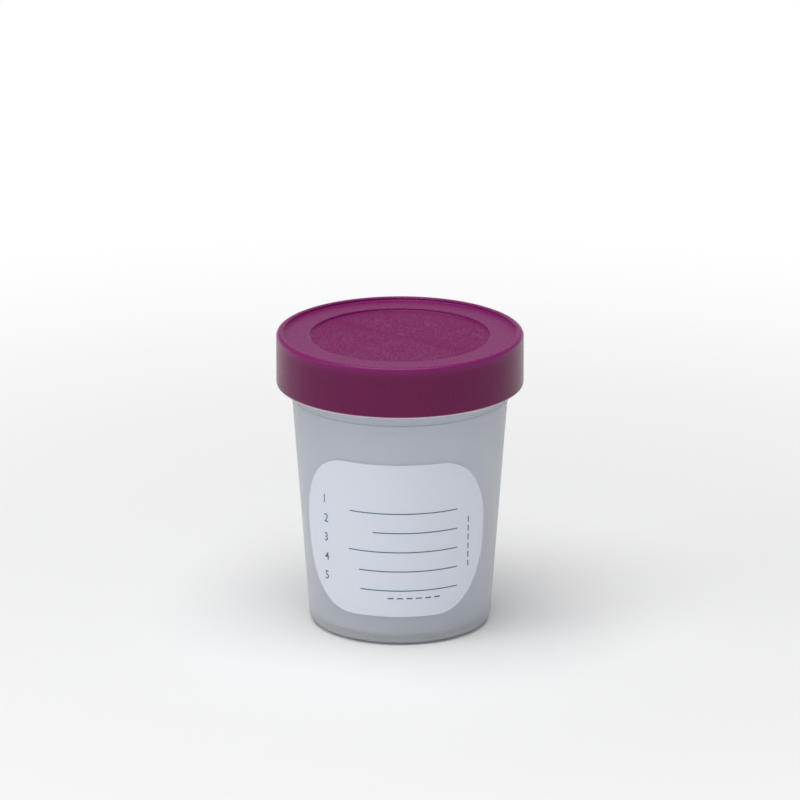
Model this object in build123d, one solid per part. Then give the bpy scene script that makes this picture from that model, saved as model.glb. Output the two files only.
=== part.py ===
from build123d import *
from math import degrees, radians, sin, tan
import os

# A screw-cap specimen container in millimetres.
# The origin is the centre of the foot, on the surface it stands on. +Z is up and -Y is the front.

# Cup body
cup_height = 72.2  # foot to rim
body_radius = 27.3  # outside, just under the collar
draft_angle = 4.2  # degrees that each side leans out
wall = 1.3
floor_thickness = 1.5
foot_depth = 1.0  # how far the floor's underside stands off the table
foot_land = 1.6  # width of the ring that it stands on
foot_rounding = 0.5
heel_radius = 2.6
inner_heel_radius = 2.0
gate_radius = 3.0
gate_depth = 0.4
gate_rounding = 0.2

# Collar, neck and rim
collar_height = 3.8
collar_step = 0.6  # how far the collar stands out from the body
collar_rounding = 0.25
neck_height = 8.8  # collar's shoulder to rim
neck_step = 0.5  # how far the neck stands in from the collar
rim_rounding = 0.4

# Thread
thread_starts = 2
thread_lead = 8.0  # rise in one full turn
thread_angle = 20.0  # degrees from +X where the cup's first ridge starts
ridge_height = 1.9
ridge_crest = 0.9
bearing_flank = 10.0  # degrees off level, on the side that pulls the cap down
lead_in_flank = 35.0  # degrees off level, on the other side
ridge_sink = 0.5  # how far a ridge is carried into its wall
shoulder_margin = 0.4  # collar's shoulder to the cup's lowest ridge
rim_margin = 0.7  # cup's highest ridge to the rim
edge_margin = 0.6  # skirt's lower edge to the cap's lowest ridge
bead_margin = 0.2  # cap's highest ridge to the bead
bearing_gap = 0.2
neck_gap = 0.5  # neck to the crests of the cap's ridges
skirt_gap = 0.45  # crests of the cup's ridges to the skirt
fade_depth = 0.2  # how far a ridge's end dips under its wall
fade_cutter_radius = 12.0

# Screw cap
cap_wall = 1.5
skirt_overlap = 0.6  # how far the skirt reaches below the collar's shoulder
skirt_rounding = 0.35
top_plate = 1.5
top_rounding = 0.9
lip_height = 0.8
lip_width = 1.7
land_width = 6.75
panel_depth = 0.6
step_rounding = 0.25

# Sealing disc and the bead that keeps it in the cap
disc_thickness = 0.9
disc_rounding = 0.2
disc_side_gap = 0.3
disc_play = 0.2
pilot_step = 0.3  # how much narrower the cap is round the disc
bead_step = 0.6  # how far the bead reaches in from the pilot
bead_height = 0.7
bead_rounding = 0.2

# Label
label_width = 53.0
label_drop = 10.5  # underside of the collar to the label's upper edge
label_rise = 8.0  # foot to the label's lower edge
label_thickness = 0.12
label_corner_width = 14.5
label_corner_height = 18.5
label_glue = 0.03
label_turn = -4.4  # degrees round from the front


def outside_radius(z):
    """Outer radius of the tapered body at a height."""
    return body_radius - (collar_z - z) * tan(radians(draft_angle))


def flank_fall(radial, angle):
    """Height that a flank falls over a radial distance."""
    return radial * tan(radians(angle))


# Heights, from the rim down and from the rim up
shoulder_z = cup_height - neck_height
collar_z = shoulder_z - collar_height
floor_z = foot_depth + floor_thickness
skirt_z = shoulder_z - skirt_overlap
bead_top_z = cup_height - disc_play
bead_low_z = bead_top_z - bead_height
disc_top_z = cup_height + disc_thickness
panel_z = disc_top_z + top_plate
land_z = panel_z + panel_depth
cap_top_z = land_z + lip_height

# Radii, from the body outwards
collar_radius = body_radius + collar_step
neck_radius = collar_radius - neck_step
cup_crest_radius = neck_radius + ridge_height
cap_crest_radius = neck_radius + neck_gap
skirt_inner_radius = cup_crest_radius + skirt_gap
cap_radius = skirt_inner_radius + cap_wall
lip_inner_radius = cap_radius - lip_width
panel_radius = lip_inner_radius - land_width
pilot_radius = skirt_inner_radius - pilot_step
bead_radius = pilot_radius - bead_step
disc_radius = pilot_radius - disc_side_gap

# Crest lines of the ridges at their lower and upper ends
half_crest = ridge_crest / 2
cap_ridge_height = skirt_inner_radius - cap_crest_radius
cup_crest_low_z = shoulder_z + shoulder_margin + half_crest + flank_fall(ridge_height, bearing_flank)
cup_crest_high_z = cup_height - rim_margin - half_crest - flank_fall(ridge_height, lead_in_flank)
cap_crest_low_z = skirt_z + edge_margin + half_crest + flank_fall(cap_ridge_height, lead_in_flank)
cap_crest_high_z = bead_low_z - bead_margin - half_crest - flank_fall(cap_ridge_height, bearing_flank)

# The cap's ridges bear on the cup's from below, so their crest line hangs this far under
hang = ridge_crest + flank_fall(cup_crest_radius - cap_crest_radius, bearing_flank) + bearing_gap
cap_thread_angle = thread_angle + 360 * (cap_crest_low_z + hang - cup_crest_low_z) / thread_lead


def outline_face(corners):
    """Closed outline in the XZ plane from (radius, height, rounding) corners."""
    points = [(r, 0, z) for r, z, rounding in corners]
    roundings = [rounding for r, z, rounding in corners]
    return make_face(FilletPolyline(*points, radius=roundings, close=True))


def turned(corners):
    """Solid of revolution about the axis from (radius, height, rounding) corners."""
    return revolve(outline_face(corners), Axis.Z, 360)


def thread_ridge(crest_radius, wall_radius, rise, bearing):
    """One ridge: a slanted trapezoid carried along a helix that starts on +X at z = 0.

    bearing is -1 where the steep flank faces down and 1 where it faces up.
    """
    side = 1 if crest_radius > wall_radius else -1
    root_radius = wall_radius - side * ridge_sink
    depth = abs(crest_radius - root_radius)
    steep_root = half_crest + flank_fall(depth, bearing_flank)
    shallow_root = half_crest + flank_fall(depth, lead_in_flank)
    outline = Polyline(
        (root_radius, 0, bearing * steep_root),
        (crest_radius, 0, bearing * half_crest),
        (crest_radius, 0, -bearing * half_crest),
        (root_radius, 0, -bearing * shallow_root),
        close=True,
    )
    path = Helix(thread_lead, rise, crest_radius)
    return sweep(make_face(outline), path, is_frenet=True)


def ridge_set(ridge, cutter, rise, low_z, angle):
    """Copies of a ridge, one for each start, with a cutter taken off both ends so that they fade out."""
    sweep_angle = 360 * rise / thread_lead
    faded = ridge - cutter - Pos(0, 0, rise) * Rot(0, 0, sweep_angle) * cutter
    step = 360 / thread_starts
    return [Pos(0, 0, low_z) * Rot(0, 0, angle + start * step) * faded for start in range(thread_starts)]


def cup_thread():
    """Ridges on the neck. A flat at each end fades them into it."""
    rise = cup_crest_high_z - cup_crest_low_z
    ridge = thread_ridge(cup_crest_radius, neck_radius, rise, -1)
    flat_size = 2 * cup_crest_radius
    flat = Pos(neck_radius - fade_depth + flat_size / 2, 0, 0) * Box(flat_size, flat_size, thread_lead)
    return ridge_set(ridge, flat, rise, cup_crest_low_z, thread_angle)


def cap_thread():
    """Ridges inside the skirt. A round cut at each end fades them into it."""
    rise = cap_crest_high_z - cap_crest_low_z
    ridge = thread_ridge(cap_crest_radius, skirt_inner_radius, rise, 1)
    cutter_x = skirt_inner_radius + fade_depth - fade_cutter_radius
    cutter = Pos(cutter_x, 0, 0) * Cylinder(fade_cutter_radius, thread_lead)
    return ridge_set(ridge, cutter, rise, cap_crest_low_z, cap_thread_angle)


def make_cup():
    """Cup: foot ring, floor, tapered wall, collar, neck, rim and thread in one moulding."""
    foot_radius = outside_radius(0)
    foot_inner_radius = foot_radius - heel_radius - foot_land
    inside_collar_radius = body_radius - wall
    cup = turned(
        [
            (0, foot_depth + gate_depth, 0),
            (gate_radius, foot_depth + gate_depth, gate_rounding),
            (gate_radius, foot_depth, gate_rounding),
            (foot_inner_radius, foot_depth, foot_rounding),
            (foot_inner_radius, 0, foot_rounding),
            (foot_radius, 0, heel_radius),
            (body_radius, collar_z, 0),
            (collar_radius, collar_z, collar_rounding),
            (collar_radius, shoulder_z, collar_rounding),
            (neck_radius, shoulder_z, 0),
            (neck_radius, cup_height, rim_rounding),
            (neck_radius - wall, cup_height, rim_rounding),
            (inside_collar_radius, collar_z, 0),
            (outside_radius(floor_z) - wall, floor_z, inner_heel_radius),
            (0, floor_z, 0),
        ]
    )
    return cup + cup_thread()


def make_screw_cap():
    """Cap: raised lip, smooth land, sunk panel, skirt, disc pilot, bead and thread in one moulding."""
    cap = turned(
        [
            (0, disc_top_z, 0),
            (pilot_radius, disc_top_z, 0),
            (pilot_radius, bead_top_z, 0),
            (bead_radius, bead_top_z, bead_rounding),
            (bead_radius, bead_top_z - bead_height / 2, 0),
            (skirt_inner_radius, bead_low_z, 0),
            (skirt_inner_radius, skirt_z, skirt_rounding),
            (cap_radius, skirt_z, skirt_rounding),
            (cap_radius, cap_top_z, top_rounding),
            (lip_inner_radius, cap_top_z, step_rounding),
            (lip_inner_radius, land_z, step_rounding),
            (panel_radius, land_z, step_rounding),
            (panel_radius, panel_z, step_rounding),
            (0, panel_z, 0),
        ]
    )
    return cap + cap_thread()


def make_cap_liner():
    """Sealing disc that lies on the rim under the cap's top."""
    return turned(
        [
            (0, cup_height, 0),
            (disc_radius, cup_height, disc_rounding),
            (disc_radius, disc_top_z, disc_rounding),
            (0, disc_top_z, 0),
        ]
    )


def make_label():
    """Label: a thin sheet wrapped round the taper, with large rounded corners."""
    low_z = label_rise
    high_z = collar_z - label_drop
    span = degrees(label_width / outside_radius((low_z + high_z) / 2))
    inner = label_glue
    outer = label_glue + label_thickness
    sheet = revolve(
        outline_face(
            [
                (outside_radius(low_z) + inner, low_z, 0),
                (outside_radius(low_z) + outer, low_z, 0),
                (outside_radius(high_z) + outer, high_z, 0),
                (outside_radius(high_z) + inner, high_z, 0),
            ]
        ),
        Axis.Z,
        span,
    )
    sheet = Rot(0, 0, -span / 2) * sheet
    for edge_z, vertical in ((low_z, -1), (high_z, 1)):
        corner_z = edge_z - vertical * label_corner_height
        corner_radius = outside_radius(corner_z)
        corner_turn = degrees(label_corner_width / corner_radius)
        reach = corner_radius * sin(radians(corner_turn))
        tangent = Plane(origin=(corner_radius, 0, corner_z), x_dir=(0, 1, 0), z_dir=(1, 0, 0))
        for side in (-1, 1):
            block = Rectangle(2 * reach, 2 * label_corner_height)
            block = Pos(side * reach, vertical * label_corner_height) * block
            spandrel = tangent * (block - Ellipse(reach, label_corner_height))
            cutter = extrude(spandrel, label_corner_width, both=True)
            sheet -= Rot(0, 0, side * (span / 2 - corner_turn)) * cutter
    return Rot(0, 0, label_turn - 90) * sheet


def main():
    os.makedirs("parts", exist_ok=True)
    pieces = {
        "cup": make_cup(),
        "screw_cap": make_screw_cap(),
        "cap_liner": make_cap_liner(),
        "label": make_label(),
    }
    for name, piece in pieces.items():
        export_step(piece, f"parts/{name}.step")


main()
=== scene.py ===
import bmesh
import bpy
import math
import numpy as np
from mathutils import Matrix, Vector


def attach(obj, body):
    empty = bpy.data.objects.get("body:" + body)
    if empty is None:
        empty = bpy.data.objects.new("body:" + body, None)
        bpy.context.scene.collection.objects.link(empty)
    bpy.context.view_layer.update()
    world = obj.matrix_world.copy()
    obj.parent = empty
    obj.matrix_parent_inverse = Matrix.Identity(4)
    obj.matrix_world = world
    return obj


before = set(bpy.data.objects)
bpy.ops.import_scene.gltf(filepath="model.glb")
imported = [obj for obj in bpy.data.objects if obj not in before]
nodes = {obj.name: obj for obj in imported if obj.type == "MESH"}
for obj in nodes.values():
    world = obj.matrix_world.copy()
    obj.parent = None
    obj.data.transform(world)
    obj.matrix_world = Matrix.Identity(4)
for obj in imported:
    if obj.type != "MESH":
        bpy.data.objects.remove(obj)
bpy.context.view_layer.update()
mm = 0.001  # sizes below are in millimetres times this
noiseMiddle = 0.5  # mean level of the cloudy noise
print("frame loaded")


class Tap:
    # one socket of a shader tree, with the arithmetic that the materials use

    def __init__(self, tree, socket=None):
        self.tree = tree
        self.socket = socket

    def node(self, kind, settings=None, feeds=None, out=0):
        # any node: its settings first, then the values or links of its sockets
        made = self.tree.nodes.new(kind)
        for key, value in (settings or {}).items():
            if key == "stops":
                fillRamp(made.color_ramp, value)
            else:
                setattr(made, key, value)
        for key, value in (feeds or {}).items():
            if isinstance(value, Tap):
                self.tree.links.new(value.socket, made.inputs[key])
            else:
                made.inputs[key].default_value = value
        return Tap(self.tree, made.outputs[out] if made.outputs else None)

    def math(self, operation, left, right):
        return self.node("ShaderNodeMath", {"operation": operation}, {0: left, 1: right})

    def __add__(self, other):
        return self.math("ADD", self, other)

    def __radd__(self, other):
        return self.math("ADD", other, self)

    def __sub__(self, other):
        return self.math("SUBTRACT", self, other)

    def __rsub__(self, other):
        return self.math("SUBTRACT", other, self)

    def __mul__(self, other):
        return self.math("MULTIPLY", self, other)

    def __rmul__(self, other):
        return self.math("MULTIPLY", other, self)


def fillRamp(ramp, stops):
    # two (place, grey) pairs in rising order, for the two stops that a new ramp has
    for element, (place, grey) in zip(ramp.elements, stops):
        element.position = place
        element.color = (grey, grey, grey, 1)


def newMaterial(name):
    material = bpy.data.materials.new(name)
    material.use_nodes = True
    material.node_tree.nodes.clear()
    return material, Tap(material.node_tree)


def objectPlace(tap):
    return tap.node("ShaderNodeTexCoord", {}, {}, "Object")


def grain(tap, place, size, detail=1.0, roughness=0.5):
    # cloudy noise from 0 to 1 whose patches are about this size in metres
    feeds = {"Vector": place, "Scale": 1 / size, "Detail": detail, "Roughness": roughness}
    return tap.node("ShaderNodeTexNoise", {"noise_dimensions": "3D"}, feeds)


def stretched(tap, place, scale):
    # the same place with each axis multiplied, for patterns that run one way
    return tap.node("ShaderNodeVectorMath", {"operation": "MULTIPLY"}, {0: place, 1: scale})


def ramp(tap, value, low, high):
    # 0 up to the low value, then rising evenly to 1 at the high one
    return tap.node("ShaderNodeValToRGB", {"stops": [(low, 0), (high, 1)]}, {"Fac": value})


def smoothly(tap, value, start, end, first=0, last=1):
    # the first level up to the start, the last level from the end on, and a smooth change between them
    feeds = {"Value": value, "From Min": start, "From Max": end, "To Min": first, "To Max": last}
    return tap.node("ShaderNodeMapRange", {"interpolation_type": "SMOOTHSTEP"}, feeds)


def mixColor(tap, share, first, second):
    # each colour is three numbers or a link
    pair = [c if isinstance(c, Tap) else (*c, 1) for c in (first, second)]
    return tap.node("ShaderNodeMix", {"data_type": "RGBA"}, {0: share, 6: pair[0], 7: pair[1]}, 2)


def ringLine(tap, place, height, reach):
    # 1 at a height of the object, and 0 from this reach above and below it
    rise = tap.node("ShaderNodeSeparateXYZ", {}, {0: place}, "Z")
    away = tap.math("ABSOLUTE", rise - height, 0)
    return smoothly(tap, away, 0, reach, 1, 0)


def bump(tap, height, depth):
    # a height from 0 to 1 that stands for this depth in metres
    return tap.node("ShaderNodeBump", {}, {"Strength": 1.0, "Distance": depth, "Height": height})


def finishMaterial(tap, feeds):
    surface = tap.node("ShaderNodeBsdfPrincipled", {}, feeds)
    tap.node("ShaderNodeOutputMaterial", {}, {"Surface": surface})


def dress(node, material):
    for slot in nodes[node].material_slots:
        slot.material = material


# Frosted cup, with a painted shade line along the collar's lower edge, where the step under the collar is
# in shadow
cupLook = {
    "color": (0.895, 0.93, 0.985),
    "cloudColor": (0.86, 0.90, 0.965),
    "cloudSize": 14 * mm,
    "cloudDetail": 3.0,
    "cloudRange": (0.3, 0.7),
    "paintedShadeColor": (0.50, 0.56, 0.55),
    "paintedShadeHeight": 59.75 * mm,
    "paintedShadeReach": 0.35 * mm,
    "matte": 0.44,
    "matteSpread": 0.08,
    "speckSize": 0.35 * mm,
    "speckDepth": 0.006 * mm,
    "waveSize": 5 * mm,
    "waveDepth": 0.02 * mm,
    "refraction": 1.49,
    "clear": 0.62,
    "edgeGlow": 0.12,
    "edgeGlowWidth": 0.4,
}


def makeCupMaterial():
    look = cupLook
    material, tap = newMaterial("frostedCup")
    place = objectPlace(tap)
    cloud = ramp(tap, grain(tap, place, look["cloudSize"], look["cloudDetail"]), *look["cloudRange"])
    speck = grain(tap, place, look["speckSize"])
    wave = grain(tap, place, look["waveSize"])
    relief = speck * (look["speckDepth"] / look["waveDepth"]) + wave
    # a dark line of painted shade at the collar's lower edge, standing for the shadow under its step
    paintedShadeLine = ringLine(tap, place, look["paintedShadeHeight"], look["paintedShadeReach"])
    plastic = mixColor(tap, cloud, look["color"], look["cloudColor"])
    finishMaterial(
        tap,
        {
            "Base Color": mixColor(tap, paintedShadeLine, plastic, look["paintedShadeColor"]),
            "Roughness": look["matte"] + look["matteSpread"] * (speck - noiseMiddle),
            "IOR": look["refraction"],
            "Transmission Weight": look["clear"],
            "Sheen Weight": look["edgeGlow"],
            "Sheen Roughness": look["edgeGlowWidth"],
            "Normal": bump(tap, relief, look["waveDepth"]),
        },
    )
    return material


# Screw cap and the pebbled panel in its top, with painted light that makes it lighter towards the top,
# and a pale painted highlight along the skirt's lower edge
capLook = {
    "color": (0.160, 0.007, 0.076),
    "flowColor": (0.138, 0.006, 0.065),
    "flowSize": 9 * mm,
    "flowScale": (1, 1, 2.5),
    "flowDetail": 3.0,
    "paintedTopLightColor": (0.222, 0.014, 0.134),
    "paintedTopLightHeight": 76 * mm,
    "paintedTopLightReach": 3.2 * mm,
    "paintedEdgeHighlightColor": (0.86, 0.72, 0.80),
    "paintedEdgeHighlightHeight": 62.9 * mm,
    "paintedEdgeHighlightReach": 0.42 * mm,
    "matte": 0.27,
    "panelMatte": 0.30,
    "matteSpread": 0.10,
    "scuffSize": 0.9 * mm,
    "scuffDetail": 4.0,
    "scuffRoughness": 0.65,
    "scuffRange": (0.45, 0.75),
    "speckSize": 0.22 * mm,
    "speckDepth": 0.004 * mm,
    "waveSize": 2.6 * mm,
    "waveDepth": 0.012 * mm,
    "refraction": 1.5,
    "shine": 0.2,
}


def makeCapMaterial(name, matte):
    look = capLook
    material, tap = newMaterial(name)
    place = objectPlace(tap)
    flow = grain(tap, stretched(tap, place, look["flowScale"]), look["flowSize"], look["flowDetail"])
    speck = grain(tap, place, look["speckSize"])
    wave = grain(tap, place, look["waveSize"])
    rub = grain(tap, place, look["scuffSize"], look["scuffDetail"], look["scuffRoughness"])
    scuff = ramp(tap, rub, *look["scuffRange"])
    relief = speck * (look["speckDepth"] / look["waveDepth"]) + wave
    # a pale line of painted highlight along the skirt's lower edge, where its rounding catches light
    paintedEdgeHighlight = ringLine(tap, place, look["paintedEdgeHighlightHeight"], look["paintedEdgeHighlightReach"])
    # painted light: the cap grows lighter towards its top, where the light falls
    top = ringLine(tap, place, look["paintedTopLightHeight"], look["paintedTopLightReach"])
    plastic = mixColor(tap, flow, look["color"], look["flowColor"])
    lit = mixColor(tap, top, plastic, look["paintedTopLightColor"])
    finishMaterial(
        tap,
        {
            "Base Color": mixColor(tap, paintedEdgeHighlight, lit, look["paintedEdgeHighlightColor"]),
            "Roughness": matte + look["matteSpread"] * scuff,
            "IOR": look["refraction"],
            "Specular IOR Level": look["shine"],
            "Normal": bump(tap, relief, look["waveDepth"]),
        },
    )
    return material


# Sealing disc
linerLook = {
    "color": (0.78, 0.77, 0.74),
    "poreColor": (0.66, 0.65, 0.62),
    "poreSize": 0.35 * mm,
    "poreRange": (0.1, 0.6),
    "poreDepth": 0.03 * mm,
    "matte": 0.75,
}


def makeLinerMaterial():
    look = linerLook
    material, tap = newMaterial("linerFoam")
    place = objectPlace(tap)
    feeds = {"Vector": place, "Scale": 1 / look["poreSize"]}
    pore = ramp(tap, tap.node("ShaderNodeTexVoronoi", {}, feeds), *look["poreRange"])
    finishMaterial(
        tap,
        {
            "Base Color": mixColor(tap, pore, look["poreColor"], look["color"]),
            "Roughness": look["matte"],
            "Normal": bump(tap, pore, look["poreDepth"]),
        },
    )
    return material


# Paper label
labelLook = {
    "color": (0.81, 0.855, 0.945),
    "fibreColor": (0.77, 0.815, 0.905),
    "fibreSize": 0.25 * mm,
    "fibreScale": (1, 1, 0.35),
    "fibreDetail": 3.0,
    "fibreRoughness": 0.6,
    "fibreDepth": 0.004 * mm,
    "waveSize": 7 * mm,
    "waveDepth": 0.03 * mm,
    "matte": 0.52,
    "matteSpread": 0.08,
}


def makeLabelMaterial():
    look = labelLook
    material, tap = newMaterial("labelPaper")
    place = objectPlace(tap)
    along = stretched(tap, place, look["fibreScale"])
    fibre = grain(tap, along, look["fibreSize"], look["fibreDetail"], look["fibreRoughness"])
    wave = grain(tap, place, look["waveSize"])
    relief = fibre * (look["fibreDepth"] / look["waveDepth"]) + wave
    finishMaterial(
        tap,
        {
            "Base Color": mixColor(tap, fibre, look["fibreColor"], look["color"]),
            "Roughness": look["matte"] + look["matteSpread"] * (fibre - noiseMiddle),
            "Normal": bump(tap, relief, look["waveDepth"]),
        },
    )
    return material


# Ink of the writing lines, numerals and marks
inkLook = {
    "color": (0.055, 0.125, 0.215),
    "thinColor": (0.11, 0.20, 0.30),
    "dotSize": 0.16 * mm,
    "dotDetail": 2.0,
    "dotRange": (0.45, 0.8),
    "matte": 0.5,
    "matteSpread": 0.1,
}


def makeInkMaterial():
    look = inkLook
    material, tap = newMaterial("labelInk")
    place = objectPlace(tap)
    thin = ramp(tap, grain(tap, place, look["dotSize"], look["dotDetail"]), *look["dotRange"])
    finishMaterial(
        tap,
        {
            "Base Color": mixColor(tap, thin, look["color"], look["thinColor"]),
            "Roughness": look["matte"] + look["matteSpread"] * thin,
        },
    )
    return material


def addPiece(name, points, faces, material, body):
    # a mesh from an array of points and a list of faces, smooth, at the origin, on a body
    mesh = bpy.data.meshes.new(name)
    mesh.from_pydata(points.tolist(), [], faces)
    mesh.polygons.foreach_set("use_smooth", np.ones(len(mesh.polygons), bool))
    mesh.materials.append(material)
    mesh.update()
    piece = bpy.data.objects.new(name, mesh)
    bpy.context.scene.collection.objects.link(piece)
    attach(piece, body)
    return piece


# Pebbled skin of the cap's sunk panel
panelGrain = {
    "cells": 306,
    "pebble": 0.66 * mm,
    "pebbleSpread": 0.22,
    "pebbleFlatness": 1.3,
    "height": 0.12 * mm,
    "edgeFade": 0.5 * mm,
    "edgeInset": 0.05 * mm,
    "sink": 0.02 * mm,
    "thickness": 0.2 * mm,
    "waves": 56,
    "seed": 7,
    "levelRadius": 10 * mm,
    "searchStart": 15 * mm,
    "searchEnd": 31 * mm,
    "searchStep": 0.05 * mm,
    "stepUp": 0.01 * mm,
    "rayStart": 1000 * mm,
}


def capTopHeight(radius):
    # height of the cap's top surface at a radius, found by a ray from above
    above = Vector((radius, 0, panelGrain["rayStart"]))
    hit, spot, normal, face = nodes["screw_cap"].ray_cast(above, Vector((0, 0, -1)))
    return spot.z


def panelEdge():
    # level of the sunk panel, and the radius up to which it stays level
    plan = panelGrain
    level = capTopHeight(plan["levelRadius"])
    radii = np.arange(plan["searchStart"], plan["searchEnd"], plan["searchStep"])
    heights = np.array([capTopHeight(r) for r in radii])
    return level, radii[np.argmax(np.abs(heights - level) > plan["stepUp"])] - plan["searchStep"]


def pebbles(x, y):
    # sum of plane waves of nearly one length in all directions, flattened on top, from -1 to 1
    plan = panelGrain
    rng = np.random.default_rng(plan["seed"])
    heading = rng.uniform(0, 2 * np.pi, plan["waves"])
    length = plan["pebble"] * (1 + plan["pebbleSpread"] * rng.uniform(-1, 1, plan["waves"]))
    phase = rng.uniform(0, 2 * np.pi, plan["waves"])
    total = np.zeros_like(x)
    for angle, size, start in zip(heading, length, phase):
        total += np.cos(2 * np.pi / size * (x * np.cos(angle) + y * np.sin(angle)) + start)
    return np.tanh(plan["pebbleFlatness"] * total / np.sqrt(plan["waves"] / 2))


def discGrid(count, edge):
    # a square grid of parameters a and b from -1 to 1, laid on the disc ring by ring:
    # radius is the larger of the two, and the angle is the other's share of an eighth turn
    side = np.linspace(-1, 1, count)
    a, b = np.meshgrid(side, side, indexing="xy")
    wide = np.abs(a) > np.abs(b)
    radius = np.where(wide, a, b)
    share = np.divide(np.where(wide, b, a), radius, out=np.zeros_like(a), where=radius != 0)
    angle = np.where(wide, np.pi / 4 * share, np.pi / 2 - np.pi / 4 * share)
    return edge * radius * np.cos(angle), edge * radius * np.sin(angle)


def gridQuads(number):
    # the quads between the numbered points of a grid
    quads = (number[:-1, :-1], number[:-1, 1:], number[1:, 1:], number[1:, :-1])
    return np.stack([q.ravel() for q in quads], axis=1).tolist()


def closeBelow(top, number, underside):
    # a wall down from the grid's rim, and triangles from its foot to a middle point below
    ring = np.concatenate([number[0, :-1], number[:-1, -1], number[-1, :0:-1], number[:0:-1, 0]])
    low = top[ring]
    low[:, 2] = underside
    lowRing = len(top) + np.arange(len(ring))
    middle = np.full(len(ring), len(top) + len(ring))
    nextRing = np.roll(ring, -1)
    nextLow = np.roll(lowRing, -1)
    walls = np.stack([ring, lowRing, nextLow, nextRing], axis=1).tolist()
    base = np.stack([lowRing, middle, nextLow], axis=1).tolist()
    return np.concatenate([top, low, [[0, 0, underside]]]), walls + base


def makePanelSkin(material):
    plan = panelGrain
    level, edge = panelEdge()
    edge -= plan["edgeInset"]
    count = plan["cells"] + 1
    x, y = discGrid(count, edge)
    inward = np.clip((edge - np.hypot(x, y)) / plan["edgeFade"], 0, 1)
    ease = inward * inward * (3 - 2 * inward)
    peak = plan["height"] / 2
    z = level - plan["sink"] + ease * (plan["sink"] + peak + peak * pebbles(x, y))
    top = np.stack([x.ravel(), y.ravel(), z.ravel()], axis=1)
    number = np.arange(count * count).reshape(count, count)
    points, closing = closeBelow(top, number, level - plan["thickness"])
    piece = addPiece("capPanelGrain", points, gridQuads(number) + closing, material, "cap")


# Print on the label, in the label's own flat measure: along from its centre line, up from its lower edge
labelPrint = {
    "ruleStarts": [-11.2 * mm, -5.0 * mm, -11.6 * mm, -8.8 * mm, -8.4 * mm],
    "ruleEnd": 17.2 * mm,
    "topRule": 27.95 * mm,
    "rulePitch": 5.22 * mm,
    "ruleWidth": 0.28 * mm,
    "numeralLeft": -19.6 * mm,
    "numeralHeight": 2.25 * mm,
    "numeralWeight": 0.004,  # as a share of the text size, like the seam
    "numeralSeam": 0.0001,
    "numeralSmoothness": 6,
    "numeralLift": 0.5 * mm,
    "sideMarkAlong": 20.8 * mm,
    "sideMarkLow": 11.7 * mm,
    "sideMarkHigh": 24.9 * mm,
    "footMarkHeight": 5.0 * mm,
    "footMarkStart": -1.3 * mm,
    "footMarkEnd": 11.8 * mm,
    "markWidth": 0.34 * mm,
    "dash": 1.5 * mm,
    "dashGap": 0.9 * mm,
    "rise": 0.012 * mm,
    "sink": 0.01 * mm,
    "pathStep": 0.5 * mm,
    "edgeBand": 0.05 * mm,
}


def readLabel():
    # the label's lower edge, its turn round the axis, and its outer radius as a line in height
    band = labelPrint["edgeBand"]
    count = len(nodes["label"].data.vertices)
    points = np.zeros(count * 3)
    nodes["label"].data.vertices.foreach_get("co", points)
    x, y, z = points.reshape(-1, 3).T
    radius = np.hypot(x, y)
    turn = np.arctan2(x, -y)
    low, high = z.min(), z.max()
    lowRadius = radius[z < low + band].max()
    highRadius = radius[z > high - band].max()
    slope = (highRadius - lowRadius) / (high - low)
    return {"low": low, "turn": (turn.min() + turn.max()) / 2, "radius": lowRadius, "slope": slope}


def onLabel(label, along, up, lift):
    # a flat place on the print carried onto the tapered wall: the angle is the length along over
    # the radius at that height, and lift is how far out it stands
    surface = label["radius"] + label["slope"] * up
    angle = label["turn"] + along / surface
    reach = surface + lift
    return np.stack([reach * np.sin(angle), -reach * np.cos(angle), label["low"] + up], axis=-1)


def stroke(label, start, end, width):
    # a flat bar from start to end: its four-cornered profile carried along the path, closed at both ends
    plan = labelPrint
    start, end = np.array(start), np.array(end)
    length = np.linalg.norm(end - start)
    steps = max(2, int(np.ceil(length / plan["pathStep"])) + 1)
    path = start + np.linspace(0, 1, steps)[:, None] * (end - start)
    ahead = (end - start) / length
    across = np.array([-ahead[1], ahead[0]]) * width / 2
    offsets = [(-1, -plan["sink"]), (-1, plan["rise"]), (1, plan["rise"]), (1, -plan["sink"])]
    corners = []
    for sideways, lift in offsets:
        flat = path + sideways * across
        corners.append(onLabel(label, flat[:, 0], flat[:, 1], lift))
    points = np.stack(corners, axis=1).reshape(-1, 3)
    corner = np.arange(steps * 4).reshape(steps, 4)
    beside = np.roll(corner, -1, axis=1)
    quads = np.stack([corner[:-1], corner[1:], beside[1:], beside[:-1]], axis=-1).reshape(-1, 4)
    ends = [corner[0].tolist(), corner[-1, ::-1].tolist()]
    return points, quads.tolist() + ends


def dashes(label, start, end, width):
    # a row of equal bars with equal gaps from start to end
    plan = labelPrint
    start, end = np.array(start), np.array(end)
    length = np.linalg.norm(end - start)
    pitch = plan["dash"] + plan["dashGap"]
    places = np.arange(0, length - plan["dash"] / 2, pitch)
    ahead = (end - start) / length
    return [stroke(label, start + ahead * p, start + ahead * (p + plan["dash"]), width) for p in places]


def joinParts(parts):
    # several (points, faces) pairs as one
    points = np.concatenate([p for p, f in parts])
    faces = []
    offset = 0
    for p, f in parts:
        faces += [[corner + offset for corner in face] for face in f]
        offset += len(p)
    return points, faces


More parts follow.
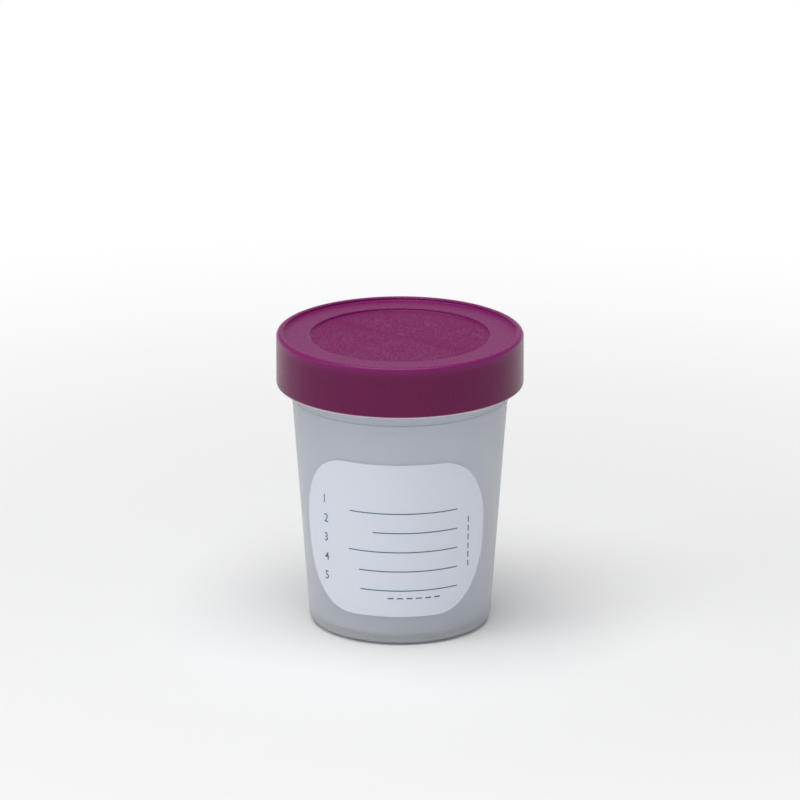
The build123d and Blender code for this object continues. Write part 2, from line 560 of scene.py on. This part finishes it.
def numeralPlate(text):
    # a plain numeral as a closed plate: its shape in x and y, and its front where z is above 0
    plan = labelPrint
    curve = bpy.data.curves.new("numeralCurve", "FONT")
    curve.body = text
    curve.size = 1.0
    curve.extrude = 1.0
    curve.offset = plan["numeralWeight"]
    curve.resolution_u = plan["numeralSmoothness"]
    holder = bpy.data.objects.new("numeralHolder", curve)
    bpy.context.scene.collection.objects.link(holder)
    bpy.context.view_layer.update()
    mesh = bpy.data.meshes.new_from_object(holder.evaluated_get(bpy.context.evaluated_depsgraph_get()))
    closed = bmesh.new()
    closed.from_mesh(mesh)
    # text comes with open seams
    bmesh.ops.remove_doubles(closed, verts=closed.verts, dist=plan["numeralSeam"])
    bmesh.ops.recalc_face_normals(closed, faces=closed.faces)
    closed.to_mesh(mesh)
    closed.free()
    points = np.zeros(len(mesh.vertices) * 3)
    mesh.vertices.foreach_get("co", points)
    faces = [list(face.vertices) for face in mesh.polygons]
    bpy.data.objects.remove(holder)
    bpy.data.curves.remove(curve)
    bpy.data.meshes.remove(mesh)
    return points.reshape(-1, 3), faces


def numeralPart(label, text, along, up):
    # the numeral's plate, thin and at its size, laid on the label
    plan = labelPrint
    flat, faces = numeralPlate(text)
    scale = plan["numeralHeight"] / (flat[:, 1].max() - flat[:, 1].min())
    x = along + (flat[:, 0] - flat[:, 0].min()) * scale
    y = up + (flat[:, 1] - flat[:, 1].min()) * scale
    lift = np.where(flat[:, 2] > 0, plan["rise"], -plan["sink"])
    return onLabel(label, x, y, lift), faces


def makePrint(material):
    plan = labelPrint
    label = readLabel()
    heights = plan["topRule"] - plan["rulePitch"] * np.arange(len(plan["ruleStarts"]))
    rules = []
    numerals = []
    for index, (start, up) in enumerate(zip(plan["ruleStarts"], heights)):
        rules.append(stroke(label, (start, up), (plan["ruleEnd"], up), plan["ruleWidth"]))
        numerals.append(numeralPart(label, str(index + 1), plan["numeralLeft"], up + plan["numeralLift"]))
    side = plan["sideMarkAlong"]
    marks = dashes(label, (side, plan["sideMarkLow"]), (side, plan["sideMarkHigh"]), plan["markWidth"])
    foot = plan["footMarkHeight"]
    marks += dashes(label, (plan["footMarkStart"], foot), (plan["footMarkEnd"], foot), plan["markWidth"])
    for name, parts in {"labelRules": rules, "labelNumerals": numerals, "labelMarks": marks}.items():
        points, faces = joinParts(parts)
        piece = addPiece(name, points, faces, material, "cup")
        piece.data.shade_flat()


# Floor, light and camera: lengths are in metres, apart from the sensor's width, which is in millimetres
stageLook = {
    "floorSize": 8.0,
    "floorColor": (0.90, 0.903, 0.906),
    "fadeStart": 0.08,
    "fadeEnd": 0.36,
    "white": (1, 1, 1, 1),
    "horizonLevel": 1.0,
    "skyLevel": 0.28,
    "bandTop": 0.10,  # sine of the elevation, like the sky's start
    "skyStart": 0.26,
}
lamps = {
    "topLamp": {"place": (-0.10, -0.22, 1.20), "size": 1.1, "power": 12.6},
    "sideLamp": {"place": (-1.00, -0.40, 0.45), "size": 0.5, "power": 1.3},
}
lampAim = (0, 0, 0.04)
cameraPlan = {
    "distance": 2.0,
    "elevation": 18.285,
    "focalPixels": 7882.0,
    "imagePixels": 800.0,
    "sensorWidth": 36.0,
    "targetHeight": 38 * mm,
    "targetPixelY": 474.55,
    "nearest": 0.1,
    "farthest": 100,
}


def seenRays(tap):
    # 1 for the rays that show the background: from the camera, off gloss and through glass
    first = tap.node("ShaderNodeLightPath", {}, {}, "Is Camera Ray")
    second = tap.node("ShaderNodeLightPath", {}, {}, "Is Glossy Ray")
    third = tap.node("ShaderNodeLightPath", {}, {}, "Is Transmission Ray")
    return tap.math("MINIMUM", first + second + third, 1.0)


def makeFloor():
    # pale and matte, and for the rays that show the background it fades to plain white further out
    look = stageLook
    half = look["floorSize"] / 2
    points = [(-half, -half, 0), (half, -half, 0), (half, half, 0), (-half, half, 0)]
    material, tap = newMaterial("paleFloor")
    flat = stretched(tap, objectPlace(tap), (1, 1, 0))
    away = tap.node("ShaderNodeVectorMath", {"operation": "LENGTH"}, {0: flat}, "Value")
    fade = smoothly(tap, away, look["fadeStart"], look["fadeEnd"])
    matte = tap.node("ShaderNodeBsdfDiffuse", {}, {"Color": (*look["floorColor"], 1)})
    white = tap.node("ShaderNodeEmission", {}, {"Color": look["white"], "Strength": 1.0})
    shown = tap.node("ShaderNodeMixShader", {}, {0: fade * seenRays(tap), 1: matte, 2: white})
    tap.node("ShaderNodeOutputMaterial", {}, {"Surface": shown})
    mesh = bpy.data.meshes.new("floor")
    mesh.from_pydata(points, [], [[0, 1, 2, 3]])
    mesh.materials.append(material)
    floor = bpy.data.objects.new("floor", mesh)
    bpy.context.scene.collection.objects.link(floor)


def makeWorld():
    # white low round the horizon and dimmer above it for the rays that show the background,
    # and dim all round for the rays that light the container
    look = stageLook
    world = bpy.data.worlds.new("studio")
    world.use_nodes = True
    world.node_tree.nodes.clear()
    bpy.context.scene.world = world
    tap = Tap(world.node_tree)
    heading = tap.node("ShaderNodeTexCoord", {}, {}, "Generated")
    rise = tap.node("ShaderNodeSeparateXYZ", {}, {0: heading}, "Z")
    level = smoothly(tap, rise, look["bandTop"], look["skyStart"], look["horizonLevel"], look["skyLevel"])
    shown = look["skyLevel"] + (level - look["skyLevel"]) * seenRays(tap)
    sky = tap.node("ShaderNodeBackground", {}, {"Color": look["white"], "Strength": shown})
    tap.node("ShaderNodeOutputWorld", {}, {"Surface": sky})


def addLamp(name, place, size, power):
    data = bpy.data.lights.new(name, "AREA")
    data.shape = "SQUARE"
    data.size = size
    data.energy = power
    lamp = bpy.data.objects.new(name, data)
    lamp.location = place
    aim = Vector(lampAim) - Vector(place)
    lamp.rotation_euler = aim.to_track_quat("-Z", "Y").to_euler()
    bpy.context.scene.collection.objects.link(lamp)


def makeCamera():
    # stands at the elevation seen from the target, and looks a little above the target
    plan = cameraPlan
    rise = math.radians(plan["elevation"])
    offset = math.atan((plan["targetPixelY"] - plan["imagePixels"] / 2) / plan["focalPixels"])
    pitch = rise - offset
    data = bpy.data.cameras.new("camera")
    data.sensor_width = plan["sensorWidth"]
    data.lens = plan["focalPixels"] / plan["imagePixels"] * plan["sensorWidth"]
    data.clip_start = plan["nearest"]
    data.clip_end = plan["farthest"]
    camera = bpy.data.objects.new("camera", data)
    away = plan["distance"] * math.cos(rise)
    camera.location = (0, -away, plan["targetHeight"] + plan["distance"] * math.sin(rise))
    camera.rotation_euler = (math.pi / 2 - pitch, 0, 0)
    bpy.context.scene.collection.objects.link(camera)
    bpy.context.scene.camera = camera


dress("cup", makeCupMaterial())
dress("screw_cap", makeCapMaterial("capPlastic", capLook["matte"]))
dress("cap_liner", makeLinerMaterial())
dress("label", makeLabelMaterial())
print("materials made")

bpy.context.view_layer.update()
makePanelSkin(makeCapMaterial("capPanelPlastic", capLook["panelMatte"]))
print("panel skin made")
makePrint(makeInkMaterial())
print("label print made")

makeFloor()
makeWorld()
for name, lamp in lamps.items():
    addLamp(name, **lamp)
makeCamera()
bpy.context.scene.view_settings.view_transform = "Standard"
print("stage, light and camera made")
